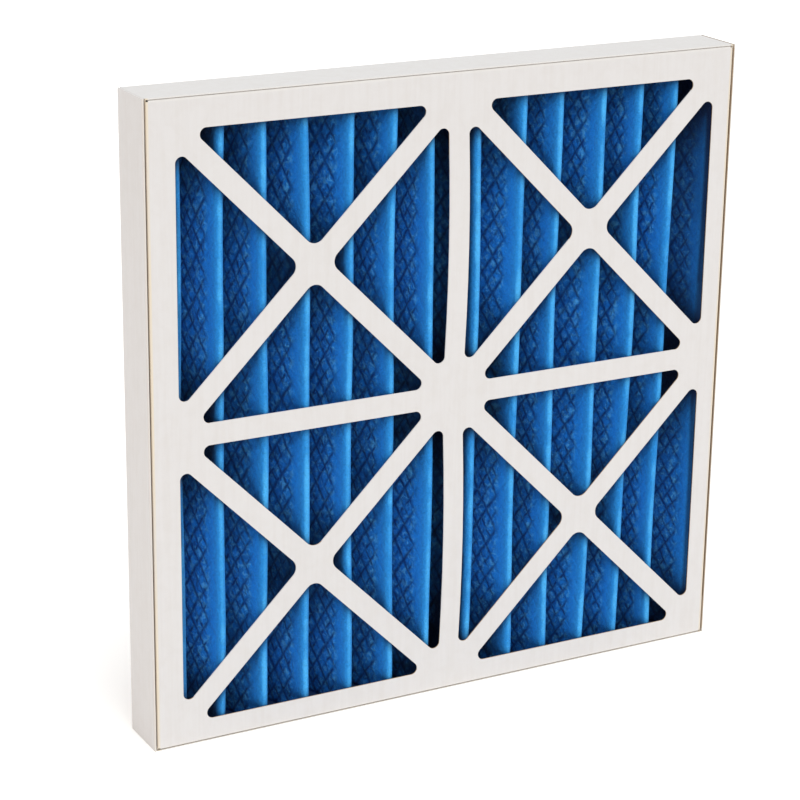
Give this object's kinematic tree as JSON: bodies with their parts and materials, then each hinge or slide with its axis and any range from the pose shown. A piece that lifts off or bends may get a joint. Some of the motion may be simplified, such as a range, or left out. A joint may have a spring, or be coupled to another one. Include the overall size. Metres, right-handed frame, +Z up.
{
  "type": "pleated panel air filter",
  "caption": "Square panel air filter: blue pleated media on a wire mesh, glued into a white board frame with diagonal struts across its windows.",
  "frame": {"origin": "middle of the bottom edge, on the surface the filter stands on", "axes": "+X along the width, +Y along the air flow from the intake face to the outlet face, +Z up along the pleats"},
  "size_m": [0.495, 0.046, 0.495],
  "materials": {
    "frame_board": "coated white board, satin",
    "filter_media": "matt blue nonwoven",
    "mesh_metal": "galvanised, dull",
    "adhesive": "dried adhesive, satin"
  },
  "bodies": {
    "root": {"rear_frame": "frame_board", "front_frame": "frame_board", "pleated_media": "filter_media", "support_mesh": "mesh_metal", "top_seal": "adhesive", "bottom_seal": "adhesive", "left_seal": "adhesive", "right_seal": "adhesive"}
  },
  "joints": []
}
